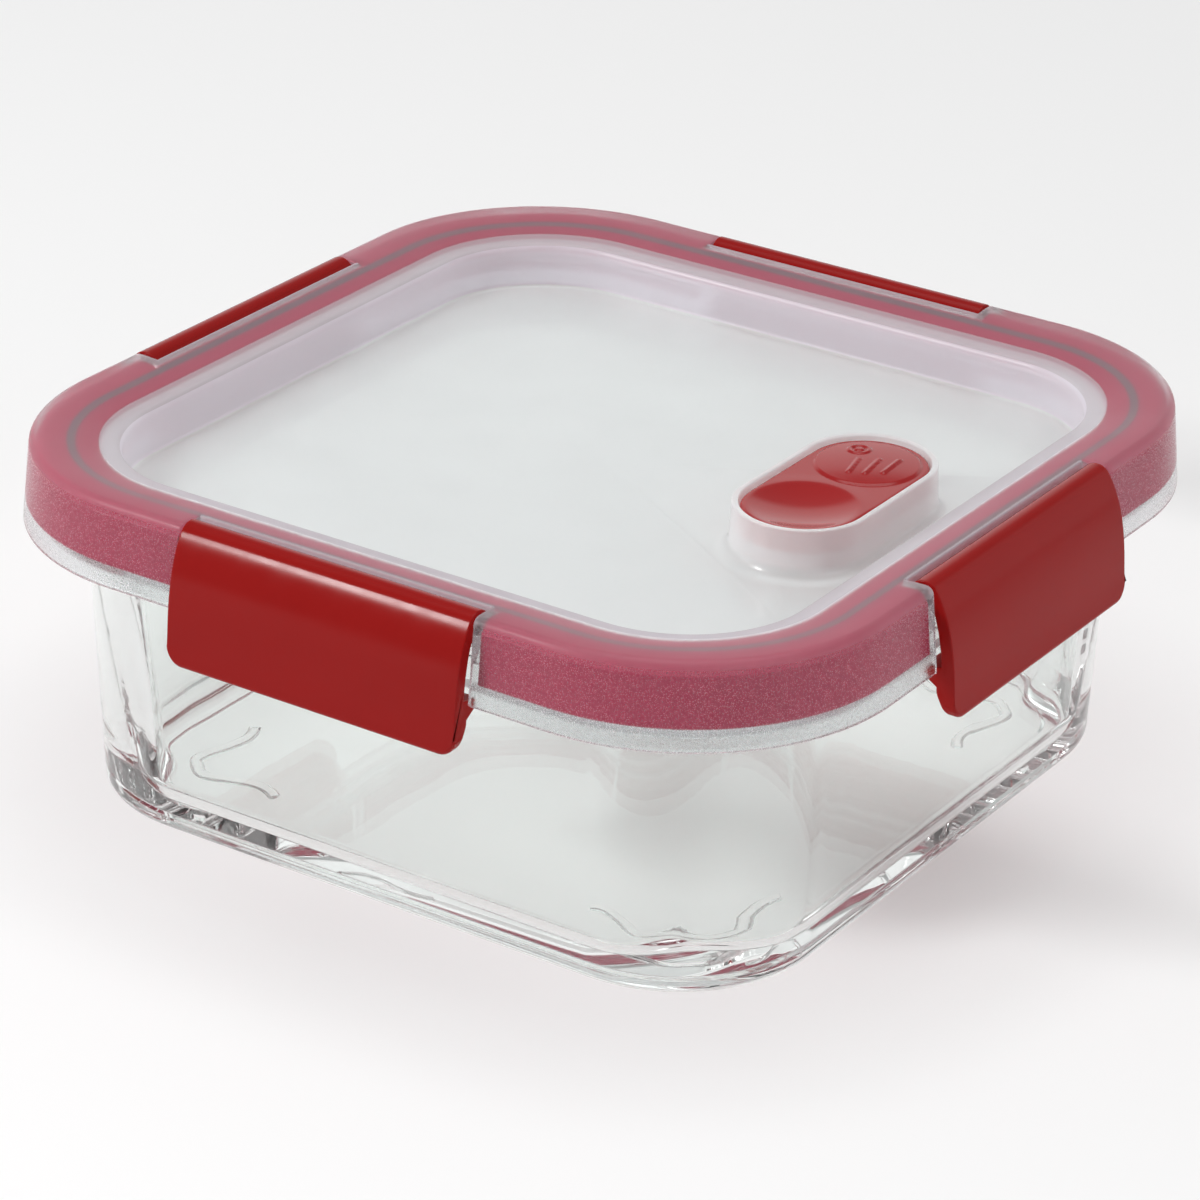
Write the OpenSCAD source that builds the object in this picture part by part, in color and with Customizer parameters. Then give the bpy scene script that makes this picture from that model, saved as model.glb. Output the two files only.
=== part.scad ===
// Square glass storage container: a pressed glass dish, a clear lid with a red
// liner gasket, four hinged side clips and a rocking steam vent with its stopper.
// The origin is the centre of the base, +Z is up, and the clips face the four sides.

/* [Glass dish] */
// Width of the dish across the flats, measured at its foot
base_w = 139.6; // [110:0.2:190]
// Radius of the dish's upright corners, at the foot
corner_r = 26.3; // [18:0.1:34]
// Height of the glass rim above the table
dish_h = 60.6; // [48:0.1:120]
// Thickness of the side walls
wall_t = 3.6; // [2.8:0.1:5]
// Thickness of the floor
floor_t = 5; // [3.5:0.1:7]
// How far each wall leans out between foot and rim
wall_lean = 2.6; // [1:0.1:5]
// How far the flange stands out beyond the wall
flange_w = 6.6; // [5:0.1:9]
// Height of the flange, from its underside to the rim
flange_h = 9.2; // [8:0.1:12]
// Depth of the hollow under the base, and height of the curved feet in it
foot_h = 0.6; // [0.4:0.1:1.2]

/* [Lid] */
// Wall thickness of the lid's top and of its sunken panel
lid_t = 1.8; // [1.4:0.1:2.4]
// Thickness of the lid's skirt
skirt_t = 1.4; // [1.1:0.1:1.8]
// Height of the skirt, from the rim's crest to its lower edge
skirt_h = 15; // [14:0.1:18]
// How far the skirt leans out on its way down
skirt_lean = 1.5; // [0.5:0.1:2]
// Depth of the panel below the rim's crest
panel_depth = 10.5; // [8:0.1:14]
// Clearance between the lid's sunken wall and the dish's mouth
mouth_gap = 1.5; // [0.6:0.1:2.5]
// Clear ledge between the sunken wall and the red liner
ledge_w = 3.9; // [2.5:0.1:5]

/* [Liner gasket] */
// Thickness of the seal between the glass rim and the lid, at its inner edge
seal_t = 1.55; // [1:0.05:2.2]
// Thickness of the liner behind the skirt
liner_t = 0.9; // [0.6:0.1:1]
// Height of the clear strip below the liner
clear_strip = 3.5; // [2:0.1:6]

/* [Clips] */
// Length of a clip along its side
clip_l = 57.3; // [40:0.1:70]
// Thickness of a clip's plate
clip_t = 2.3; // [1.8:0.1:3]
// Drop of a clip's plate below its hinge
clip_drop = 20.4; // [18:0.1:24]
// Radius of the hinge barrel
barrel_r = 2.8; // [2.3:0.01:3.4]
// Radius of the hinge pins moulded on the lid
pin_r = 1.2; // [0.9:0.1:1.4]
// Length of each hinge pin
pin_l = 3; // [2:0.1:5]
// Rounding of a clip's lower corners
clip_corner = 3; // [1:0.1:5]

/* [Steam vent] */
// Width of the rocker
rocker_w = 21; // [17:0.1:26]
// Distance between the centres of the rocker's round ends
rocker_pitch = 20.6; // [14:0.1:26]
// Thickness of the rocker
rocker_t = 4; // [3.4:0.1:4.6]
// Distance from the lid's middle to the rocker's middle
vent_x = 45.3; // [38:0.1:48]
// Thickness of the collar around the rocker
collar_t = 1.6; // [1.2:0.1:2.4]
// Radius of the steam hole
steam_r = 2.5; // [1.5:0.1:3]
// Radius of the rocker's pivot pins
vent_pin_r = 1; // [0.8:0.1:1.2]

/* [Hidden] */
$fn = 96;

// Clearances
running_gap = 0.05;   // radial play of a pin in its bore
seat_gap = 0.05;      // between faces that rest on each other
hinge_gap = 0.2;      // between the barrel and the rim's notch
hook_gap = 0.25;      // between the hook's tip and the flange
side_gap = 0.25;      // between a moving piece's side and the wall beside it

// Dish: every outline shares the corner centre, so all gaps are the same all round
base_half = base_w / 2;
corner_c = base_half - corner_r;
wall_top = base_half + wall_lean;
mouth_half = wall_top - wall_t;
flange_half = wall_top + flange_w;
flange_z = dish_h - flange_h;
foot_r = 3;           // rounding of the dish's lower edge
foot_ring_w = 10;     // width of the ring that the dish stands on, its rounding included
floor_r = 8;          // rounding between floor and walls, inside
slope_w = 3.8;        // the flange slopes down this far, outside the seat for the seal
seat_half = flange_half - slope_w;

// Lid
crown_drop = 1.6;     // fall of the rim's top, from its crest in to the ledge
edge_r = 1.6;         // rounding of the rim's outer edge
bend = 1;             // chamfer inside the skirt's bend
seal_z = dish_h + seat_gap;
rim_z = seal_z + seal_t + crown_drop + lid_t;
skirt_z = rim_z - skirt_h;
panel_z = rim_z - panel_depth;
well_out = mouth_half - mouth_gap;
well_in = well_out - lid_t;
ledge_half = well_in + ledge_w;
crest_half = skirt_in(rim_z) - 0.3;
liner_z = skirt_z + clear_strip;

// Clip hinge
notch_half = seat_half + 0.8;
pivot_x = notch_half + hinge_gap + barrel_r;
pivot_z = rim_z + 0.3 - barrel_r;
notch_l = clip_l + 2 * side_gap;
ear_t = 2.4;          // thickness of the ears that carry the pins
lip_z = flange_z - 0.3;
bend_top = barrel_r * [cos(33.7), sin(33.7)];  // where a clip's plate leaves its barrel

// Vent
collar_z = rim_z - 0.9;
rocker_r = rocker_w / 2;
rocker_z = collar_z - 1.4;
collar_in = rocker_r + side_gap;
vent_pivot_z = rocker_z - rocker_t / 2;
vent_pin_l = 1.8;
plug_r = steam_r + 1.7;
stem_r = 1.6;         // the stopper's stem, held in the rocker
stem_l = 1.6;
dip_depth = 1.4;      // finger dip at one end of the rocker
knob_h = 0.8;         // round knob at its other end

// Outer and inner faces of the skirt, as half widths at a height z
function skirt_out(z) = flange_half + 2 + skirt_lean * (rim_z - z) / skirt_h;
function skirt_in(z) = skirt_out(z) - skirt_t;

// Outer face of the dish's wall at a height z
function wall_out(z) = base_half + wall_lean * z / dish_h;

// Points of an arc about [x, z] from angle a to angle b
function arc(x, z, r, a, b, n) =
    [for (i = [0:n]) [x + r * cos(a + (b - a) * i / n), z + r * sin(a + (b - a) * i / n)]];

// Crowned top of the rim at half width x, lowered by d
function crown(x, d) =
    [x, rim_z - d - crown_drop * pow((crest_half - x) / (crest_half - ledge_half), 2)];

// A profile (half width, height) carried round the rounded square, over a filled middle
module round_square(profile) {
    for (k = [0:3]) rotate(90 * k) {
        translate([corner_c, corner_c, 0])
            rotate_extrude(angle = 90)
                polygon([for (p = profile) [p.x - corner_c, p.y]]);
        translate([0, corner_c, 0])
            rotate([90, 0, 0])
                linear_extrude(2 * corner_c)
                    polygon(profile);
    }
}

module middle_plate(z, t) {
    translate([-corner_c, -corner_c, z])
        cube([2 * corner_c, 2 * corner_c, t]);
}

// A block outside half width x on all four sides, l long
module side_blocks(x, l, z0, z1) {
    for (k = [0:3]) rotate(90 * k)
        translate([x, -l / 2, z0])
            cube([20, l, z1 - z0]);
}

module glass_dish() {
    profile = concat(
        [[corner_c, foot_h], [base_half - foot_ring_w, foot_h]],
        [[base_half - foot_ring_w + foot_h, 0]],
        arc(base_half - foot_r, foot_r, foot_r, -90, 0, 6),
        [[wall_out(flange_z), flange_z - 0.6], [wall_out(flange_z) + 0.6, flange_z]],
        [[flange_half - 0.8, flange_z], [flange_half, flange_z + 0.8]],
        [[flange_half, dish_h - slope_w], [seat_half + 0.5, dish_h - 0.3]],
        [[seat_half - 0.6, dish_h]],
        [[mouth_half + 1, dish_h], [mouth_half + 0.3, dish_h - 0.3], [mouth_half, dish_h - 1]],
        arc(wall_out(floor_r) - wall_t - floor_r, floor_t + floor_r, floor_r, 0, -90, 8),
        [[corner_c, floor_t]]
    );
    color("lightcyan", 0.5) {
        round_square(profile);
        middle_plate(foot_h, floor_t - foot_h);
        curved_feet();
    }
}

// Four curved feet under the base, one inside each corner
module curved_feet() {
    foot_c = corner_c + 1;
    foot_bend = 9;
    foot_w = 1.8;
    leg = 9;
    for (k = [0:3]) rotate(90 * k) translate([foot_c, foot_c, 0]) {
        rotate_extrude(angle = 90)
            translate([foot_bend - foot_w / 2, 0])
                square([foot_w, foot_h + 0.4]);
        translate([foot_bend - foot_w / 2, -leg, 0])
            cube([foot_w, leg, foot_h + 0.4]);
        translate([-leg, foot_bend - foot_w / 2, 0])
            cube([leg, foot_w, foot_h + 0.4]);
    }
}

module lid_shell() {
    profile = concat(
        [[corner_c, panel_z]],
        arc(well_in - 1.6, panel_z + 1.6, 1.6, -90, 0, 4),
        arc(well_in + 1.4, crown(ledge_half, 0).y - 2, 1.4, 180, 105, 4),
        [for (i = [0:5]) crown(ledge_half + (crest_half - ledge_half) * i / 5, 0)],
        arc(skirt_out(rim_z) - edge_r, rim_z - edge_r, edge_r, 80, 5, 5),
        [[skirt_out(skirt_z), skirt_z], [skirt_in(skirt_z), skirt_z]],
        [[skirt_in(rim_z - lid_t - bend), rim_z - lid_t - bend], [crest_half - 0.6, rim_z - lid_t]],
        [for (i = [4:-1:0]) crown(ledge_half + (crest_half - ledge_half) * i / 5, lid_t)],
        [[well_out + 0.8, crown(ledge_half, lid_t).y - 0.5], [well_out, crown(ledge_half, lid_t).y - 1.3]],
        [[well_out, panel_z - lid_t + 1.2], [well_out - 1.2, panel_z - lid_t]],
        [[corner_c, panel_z - lid_t]]
    );
    color("lightgray", 0.6) {
        difference() {
            union() {
                difference() {
                    union() {
                        round_square(profile);
                        middle_plate(panel_z - lid_t, lid_t);
                    }
                    side_blocks(notch_half, notch_l, skirt_z - 5, rim_z + 5);
                }
                for (k = [0:3]) rotate(90 * k) for (s = [-1, 1]) hinge_ear(s);
                collar();
            }
            translate([vent_x, rocker_pitch / 2, panel_z - lid_t - 1])
                cylinder(r = steam_r, h = lid_t + 2);
        }
        for (s = [-1, 1]) translate([vent_x + s * (collar_in + collar_t / 2), 0, vent_pivot_z])
            rotate([0, -90 * s, 0])
                cylinder(r = vent_pin_r, h = collar_t / 2 + side_gap + vent_pin_l);
    }
}

// Ear that closes the end of a clip notch, with its hinge pin
module hinge_ear(s) {
    low = dish_h - 3;
    ear = [
        [notch_half, dish_h + 0.2],
        [skirt_in(low) - 1, low],
        [skirt_in(low) + skirt_t / 2, low],
        [skirt_in(rim_z - lid_t) + skirt_t / 2, rim_z - lid_t + 0.9],
        [notch_half, crown(notch_half, lid_t / 2).y],
    ];
    translate([0, s * (notch_l / 2 + ear_t / 2) + ear_t / 2, 0])
        rotate([90, 0, 0])
            linear_extrude(ear_t)
                polygon(ear);
    translate([pivot_x, s * (notch_l / 2 + ear_t / 2), pivot_z])
        rotate([90 * s, 0, 0])
            cylinder(r = pin_r, h = ear_t / 2 + side_gap + pin_l);
}

// A block with round ends along Y, of end radius r, at the vent's place
module stadium(r, z, h) {
    for (s = [-1, 1]) translate([vent_x, s * rocker_pitch / 2, z])
        cylinder(r = r, h = h);
    translate([vent_x - r, -rocker_pitch / 2, z])
        cube([2 * r, rocker_pitch, h]);
}

module collar() {
    low = panel_z - lid_t / 2;
    difference() {
        stadium(collar_in + collar_t, low, collar_z - low);
        stadium(collar_in, panel_z, collar_z);
    }
}

module lid_gasket() {
    liner_in = skirt_in(liner_z) - seat_gap - liner_t;
    band_z = seal_z + seal_t;
    profile = concat(
        [[ledge_half, seal_z]],
        [for (i = [0:4]) crown(ledge_half + (crest_half - ledge_half) * i / 5, lid_t + seat_gap)],
        [[crest_half - 0.7, rim_z - lid_t - seat_gap]],
        [[skirt_in(rim_z - lid_t - bend) - seat_gap, rim_z - lid_t - bend - seat_gap]],
        [[skirt_in(liner_z) - seat_gap, liner_z], [liner_in, liner_z]],
        [[skirt_in(band_z) - seat_gap - liner_t, band_z]],
        [[seat_half + 0.6, band_z], [seat_half, seal_z]]
    );
    color("palevioletred") {
        difference() {
            round_square(profile);
            side_blocks(notch_half - 0.4, notch_l + 2 * ear_t + 2, liner_z - 5, rim_z + 5);
        }
    }
}

// Outer face of a clip's plate, s below the top of its bend, from the hinge's axis:
// it swings out by 4.6, levels off with s, and flares 0.5 more at the finger edge
function clip_face(s) =
    bend_top + [4.6 * (1 - exp(-s / 6.9)) + 0.5 * pow(max(0, s - 16) / 6, 2), -s];

module clip() {
    reach = clip_drop + bend_top.y;
    steps = 12;
    top = 3.6;            // the inner face starts this far down
    swell = 1.1;          // extra thickness just above the finger edge
    outer = [for (i = [1:steps]) clip_face(reach * i / steps)];
    inner = [for (i = [steps:-1:0])
        let (s = top + (reach - top - 0.4) * i / steps)
            clip_face(s) - [clip_t + swell * exp(-pow((s - reach + 2.6) / 2.2, 2)), 0]];
    profile = concat([bend_top * 0.65], outer, inner, [barrel_r * [0.2, -0.45]]);
    tip = [flange_half + hook_gap - pivot_x, lip_z - pivot_z];
    root = clip_face(bend_top.y - tip.y).x - clip_t + 0.6;
    hook = [tip, tip - [0, 1.2], [root, tip.y - 3.4], [root, tip.y + 0.4]];
    color("firebrick")
        translate([pivot_x, 0, pivot_z])
            difference() {
                intersection() {
                    union() {
                        clip_bar(clip_l) polygon(profile);
                        clip_bar(clip_l - 3) polygon(hook);
                        rotate([90, 0, 0])
                            cylinder(r = barrel_r, h = clip_l, center = true);
                    }
                    clip_outline();
                }
                rotate([90, 0, 0])
                    cylinder(r = pin_r + running_gap, h = clip_l + 2, center = true);
            }
}

// A profile drawn out along the clip's side
module clip_bar(l) {
    translate([0, l / 2, 0])
        rotate([90, 0, 0])
            linear_extrude(l)
                children();
}

// Front outline of a clip: a deep block with its two lower corners rounded
module clip_outline() {
    depth = 30;
    low = -clip_drop - 2;
    high = barrel_r + 2;
    far = clip_l / 2 - clip_corner;
    bottom = -clip_drop + clip_corner;
    translate([-depth / 2, 0, 0]) {
        translate([0, -clip_l / 2, bottom]) cube([depth, clip_l, high - bottom]);
        translate([0, -far, low]) cube([depth, 2 * far, bottom - low]);
        for (s = [-1, 1]) translate([0, s * far, bottom])
            rotate([0, 90, 0])
                cylinder(r = clip_corner, h = depth);
    }
}

module clip_right() { clip(); }
module clip_back() { rotate(90) clip(); }
module clip_left() { rotate(180) clip(); }
module clip_front() { rotate(270) clip(); }

module vent_rocker() {
    dip_r = (pow(rocker_r - 1.2, 2) + pow(dip_depth, 2)) / (2 * dip_depth);
    color("firebrick")
        difference() {
            union() {
                stadium(rocker_r, rocker_z - rocker_t, rocker_t);
                translate([vent_x, rocker_pitch / 2, rocker_z - 0.5])
                    cylinder(r = rocker_r - 1.4, h = knob_h + 0.5);
            }
            translate([vent_x, -rocker_pitch / 2, rocker_z - dip_depth + dip_r])
                sphere(r = dip_r);
            for (s = [-1, 1]) translate([vent_x + s * (rocker_r + 1), 0, vent_pivot_z])
                rotate([0, -90 * s, 0])
                    cylinder(r = vent_pin_r + running_gap, h = 1 + vent_pin_l + side_gap);
            translate([vent_x, rocker_pitch / 2, rocker_z - rocker_t - 1])
                cylinder(r = stem_r, h = stem_l + 1 + seat_gap);
        }
}

module vent_plug() {
    low = panel_z + seat_gap * 2;
    color("whitesmoke")
        translate([vent_x, rocker_pitch / 2, low]) {
            cylinder(r = plug_r, h = rocker_z - rocker_t - seat_gap - low);
            cylinder(r = stem_r - seat_gap, h = rocker_z - rocker_t + stem_l - low);
        }
}

glass_dish();
lid_shell();
lid_gasket();
clip_right();
clip_back();
clip_left();
clip_front();
vent_rocker();
vent_plug();
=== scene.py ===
"""A square glass food container with its clear lid, red liner, four side clips and steam vent.

Sizes are in millimetres, above the table and out from the middle, until a mesh is made of them.
Each section makes one piece or one group of like pieces, in the order in which they are put together.
"""

import bmesh
import bpy
import numpy as np
from mathutils import Matrix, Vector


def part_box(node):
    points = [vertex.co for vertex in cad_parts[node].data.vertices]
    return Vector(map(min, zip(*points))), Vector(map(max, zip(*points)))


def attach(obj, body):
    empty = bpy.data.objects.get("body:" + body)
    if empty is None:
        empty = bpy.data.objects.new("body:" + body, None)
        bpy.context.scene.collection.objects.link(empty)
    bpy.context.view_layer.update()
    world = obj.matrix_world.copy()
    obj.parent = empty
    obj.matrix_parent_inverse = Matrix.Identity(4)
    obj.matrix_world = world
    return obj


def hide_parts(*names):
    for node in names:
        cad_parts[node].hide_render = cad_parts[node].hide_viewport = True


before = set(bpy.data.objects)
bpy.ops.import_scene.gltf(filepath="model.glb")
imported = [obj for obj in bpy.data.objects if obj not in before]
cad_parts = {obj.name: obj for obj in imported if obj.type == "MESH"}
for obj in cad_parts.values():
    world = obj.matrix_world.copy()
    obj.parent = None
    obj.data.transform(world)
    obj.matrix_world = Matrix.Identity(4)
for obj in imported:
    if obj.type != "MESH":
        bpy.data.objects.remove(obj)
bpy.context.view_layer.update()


# ---------------------------------------------------------------- Glass dish
# The dish is one piece of clear soda-lime glass, pressed in a mould and fire polished.
# Its rim is a broad flange that the clips catch, and it stands on a ring and four curved feet.

dish_high = 1000 * np.array(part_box("glass_dish")[1])
flange_half = dish_high[0]
dish_h = dish_high[2]
flange_z = dish_h - 9.2       # underside of the flange
corner_c = 43.5               # every outline turns its corners about (43.5, 43.5)
wall_out_low, wall_out_top = 69.8, 72.0
wall_in_low, wall_in_top = 66.2, 68.8
floor_z = 4.3
hollow_z = 0.6                # the base is hollow by this much inside its standing ring


def rounded(corners, steps=5, hold=0.12):
    """Points of a profile whose corners are (x, z, radius).

    A corner becomes an arc that touches both of its sides: its centre lies on the bisector at
    radius / sin(half angle), and it starts radius / tan(half angle) along each side. One point
    a little before and after each arc keeps the flats flat when the surface is shaded smooth.
    """
    places = np.array([c[:2] for c in corners], float)
    points = [places[0]]
    for before, corner, after, entry in zip(places, places[1:], places[2:], corners[1:]):
        radius = entry[2]
        if radius == 0:
            points.append(corner)
            continue
        a = (before - corner) / np.linalg.norm(before - corner)
        b = (after - corner) / np.linalg.norm(after - corner)
        half = np.arccos(np.clip(a @ b, -1, 1)) / 2
        reach = radius / np.tan(half)
        centre = corner + (a + b) / np.linalg.norm(a + b) * radius / np.sin(half)
        turn = np.pi - 2 * half
        f = np.linspace(0, 1, steps + 1)[:, None]
        start, end = corner + a * reach - centre, corner + b * reach - centre
        arc = centre + (np.sin((1 - f) * turn) * start + np.sin(f * turn) * end) / np.sin(turn)
        points += [corner + a * (reach + hold), *arc, corner + b * (reach + hold)]
    points.append(places[-1])
    return np.array(points)


def along_side(k, s):
    """Stations on side k: at s from the side's middle, a foot on the square that joins the
    corner centres, and the way out from it."""
    s = np.asarray(s, float)
    foot = np.stack([np.full_like(s, corner_c), s], 1)
    out = np.stack([np.ones_like(s), np.zeros_like(s)], 1)
    return quarter_turns(foot, k), quarter_turns(out, k)


def round_corner(k, steps=28):
    """Stations round the corner after side k: one foot, and a way out that turns by a quarter."""
    a = np.linspace(0, np.pi / 2, steps + 1)
    foot = np.full((len(a), 2), corner_c)
    out = np.stack([np.cos(a), np.sin(a)], 1)
    return quarter_turns(foot, k), quarter_turns(out, k)


def quarter_turns(points, k):
    """Points turned k quarters about the upright axis."""
    x, y = [(1, 0), (0, 1), (-1, 0), (0, -1)][k % 4]
    return points @ np.array([[x, y], [-y, x]], float)


def joined(*stations):
    """Stations one after the other."""
    return np.concatenate([s[0] for s in stations]), np.concatenate([s[1] for s in stations])


def all_round(s):
    """Stations once round the whole outline, with those of each side at the given s."""
    return joined(*[part for k in range(4) for part in (along_side(k, s), round_corner(k))])


def sweep(profile, stations):
    """Surface of a profile (x out, z up) carried along stations.

    A point is foot * min(x / c, 1) + way out * max(x - c, 0), with c the corner centre, so a
    profile that starts at x = 0 closes over the middle.
    """
    foot, out = stations
    profile = np.asarray(profile, float)
    x = profile[:, 0][:, None, None]
    flat = foot * np.minimum(x / corner_c, 1) + out * np.maximum(x - corner_c, 0)
    z = np.broadcast_to(profile[:, 1][:, None, None], flat.shape[:2] + (1,))
    return np.concatenate([flat, z], axis=2)


def grid(points, wrap=False, finish=0):
    """A grid of points as (points, quads, material index); wrap joins its last column to the first."""
    rows, cols = points.shape[:2]
    index = np.arange(rows * cols).reshape(rows, cols)
    if wrap:
        index = np.hstack([index, index[:, :1]])
    quads = np.stack([index[:-1, :-1], index[:-1, 1:], index[1:, 1:], index[1:, :-1]], -1)
    return points.reshape(-1, 3), quads.reshape(-1, 4).tolist(), finish


def cap(outline, finish=0):
    """One flat face over a closed outline of points."""
    return outline, [list(range(len(outline)))], finish


def new_piece(name, patches, finishes, sharp=35):
    """One closed mesh, in metres, from patches of (points, faces, material index).

    Points within a micron become one, faces are turned to the outside, and edges sharper than
    the angle stay sharp under smooth shading.
    """
    faces, index, start = [], [], 0
    for points, polygons, finish in patches:
        faces += [[start + i for i in polygon] for polygon in polygons]
        index += [finish] * len(polygons)
        start += len(points)
    mesh = bpy.data.meshes.new(name)
    mesh.from_pydata((np.concatenate([p[0] for p in patches]) / 1000).tolist(), [], faces)
    mesh.polygons.foreach_set("material_index", index)
    shape = bmesh.new()
    shape.from_mesh(mesh)
    bmesh.ops.remove_doubles(shape, verts=shape.verts, dist=1e-6)
    bmesh.ops.dissolve_degenerate(shape, dist=1e-7, edges=shape.edges)
    bmesh.ops.recalc_face_normals(shape, faces=shape.faces)
    shape.to_mesh(mesh)
    shape.free()
    for finish in finishes:
        mesh.materials.append(finish)
    shade(mesh, sharp)
    piece = bpy.data.objects.new(name, mesh)
    bpy.context.scene.collection.objects.link(piece)
    return piece


def shade(mesh, sharp):
    """Smooth shading, apart from edges sharper than an angle in degrees."""
    mesh.polygons.foreach_set("use_smooth", [True] * len(mesh.polygons))
    mesh.set_sharp_from_angle(angle=np.radians(sharp))


def combine(piece, other, operation):
    """Joins another closed piece to this one, or cuts it away, and removes the other."""
    step = piece.modifiers.new(operation, "BOOLEAN")
    step.operation = operation
    step.object = other
    step.solver = "EXACT"
    graph = bpy.context.evaluated_depsgraph_get()
    result = bpy.data.meshes.new_from_object(piece.evaluated_get(graph))
    piece.modifiers.clear()
    old, piece.data = piece.data, result
    result.name = piece.name
    bpy.data.meshes.remove(old)
    bpy.data.objects.remove(other)


def clear_material(name, colour, roughness, transmission, ior):
    """A see-through finish on one Principled surface; returns it with its nodes, links and shader."""
    material = bpy.data.materials.new(name)
    material.use_nodes = True
    nodes, links = material.node_tree.nodes, material.node_tree.links
    shader = nodes["Principled BSDF"]
    shader.inputs["Base Color"].default_value = (*colour, 1)
    shader.inputs["Roughness"].default_value = roughness
    shader.inputs["Transmission Weight"].default_value = transmission
    shader.inputs["IOR"].default_value = ior
    return material, nodes, links, shader


def noise(nodes, links, scale, detail=2.0, stretch=(1, 1, 1)):
    """A noise over the piece's own coordinates, in cells per metre, stretched along its axes."""
    place = nodes.new("ShaderNodeTexCoord")
    mapping = nodes.new("ShaderNodeMapping")
    mapping.inputs["Scale"].default_value = stretch
    texture = nodes.new("ShaderNodeTexNoise")
    texture.inputs["Scale"].default_value = scale
    texture.inputs["Detail"].default_value = detail
    links.new(place.outputs["Object"], mapping.inputs["Vector"])
    links.new(mapping.outputs["Vector"], texture.inputs["Vector"])
    return texture.outputs["Fac"]


def relief(nodes, links, shader, height, strength, distance):
    """Bump from a height, over any bump that the shader already has."""
    bump = nodes.new("ShaderNodeBump")
    bump.inputs["Strength"].default_value = strength
    bump.inputs["Distance"].default_value = distance
    links.new(height, bump.inputs["Height"])
    if shader.inputs["Normal"].is_linked:
        links.new(shader.inputs["Normal"].links[0].from_socket, bump.inputs["Normal"])
    links.new(bump.outputs["Normal"], shader.inputs["Normal"])


def between(nodes, links, value, low, high):
    """A 0 to 1 value spread between two numbers."""
    span = nodes.new("ShaderNodeMapRange")
    span.inputs["From Min"].default_value = 0.35
    span.inputs["From Max"].default_value = 0.65
    span.inputs["To Min"].default_value = low
    span.inputs["To Max"].default_value = high
    links.new(value, span.inputs["Value"])
    return span.outputs["Result"]


def foot_rib(k):
    """A curved foot inside corner k: a rounded strip swept along a path.

    At t across the corner's diagonal the path lies height / (1 + (t / half_hump)^4) - set_back
    along it, from the corner centre: a hump with flared ends. The strip's section is half an
    ellipse, let into the glass.
    """
    width = 2.4
    height, half_hump, set_back = 12.5, 6.5, 3
    span = 13                 # half the foot's length across the diagonal
    let_in = 0.5
    t = np.linspace(-span, span, 49)
    along = height / (1 + (t / half_hump) ** 4) - set_back
    path = corner_c + np.stack([along + t, along - t], 1) / np.sqrt(2)
    way = np.gradient(path, axis=0)
    way /= np.linalg.norm(way, axis=1)[:, None]
    side = np.stack([way[:, 1], -way[:, 0]], 1)
    a = np.linspace(0, np.pi, 9)
    across = np.concatenate([width / 2 * np.cos(a), [-width / 2, width / 2]])
    section_z = np.concatenate([hollow_z - hollow_z * np.sin(a), [hollow_z + let_in] * 2])
    flat = path[None] + across[:, None, None] * side[None]
    z = np.broadcast_to(section_z[:, None, None], flat.shape[:2] + (1,))
    strip = np.concatenate([flat, z], axis=2)
    strip[:, :, :2] = quarter_turns(strip[:, :, :2].reshape(-1, 2), k).reshape(flat.shape)
    loop = np.concatenate([strip, strip[:1]])
    ends = [cap(strip[:, 0]), cap(strip[:, -1])]
    return new_piece("foot_rib", [grid(loop), *ends], [])


def thickened(surface, profile):
    """The dish with its inner wall drawn in at the corners, where pressed glass is thicker.

    A point inside moves towards its corner's centre by a share of its distance from it: the
    share goes as sin squared of twice the angle round the corner, and grows from mouth to floor.
    """
    mouth_share, floor_share = 0.1, 0.3
    grow_z, grow_span = 52.8, 40      # the share grows over this span, down from this height
    fade_z, fade_span = 56, 4         # and it fades out just under the mouth
    inside = np.arange(len(profile)) > np.argmax(profile[:, 1])
    depth = np.clip((grow_z - profile[:, 1]) / grow_span, 0, 1)
    share = np.where(inside, mouth_share + (floor_share - mouth_share) * depth, 0)
    share *= np.clip((fade_z - profile[:, 1]) / fade_span, 0, 1)
    out = np.maximum(np.abs(surface[:, :, :2]) - corner_c, 0)
    length = np.maximum(np.hypot(out[:, :, 0], out[:, :, 1]), 1e-9)
    bulge = (2 * out[:, :, 0] * out[:, :, 1] / length ** 2) ** 2
    moved = surface.copy()
    moved[:, :, :2] -= np.sign(surface[:, :, :2]) * out * (share[:, None] * bulge)[:, :, None]
    return moved


# The walls are a little wavy from the mould. The floor, the foot and the rim are smooth, because
# they are thick, and waves there would break up what shows through them.
WAVY, PLAIN = 0, 1
glass_tint = (0.905, 0.938, 0.925)
wavy_glass, nodes, links, shader = clear_material("pressed_glass", glass_tint, 0.0, 1.0, 1.5)
relief(nodes, links, shader, noise(nodes, links, 55, 1.0, (1, 1, 0.45)), 0.22, 0.0006)
relief(nodes, links, shader, noise(nodes, links, 260, 0.0), 0.04, 0.0002)
plain_glass = clear_material("base_glass", glass_tint, 0.0, 1.0, 1.5)[0]

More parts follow.
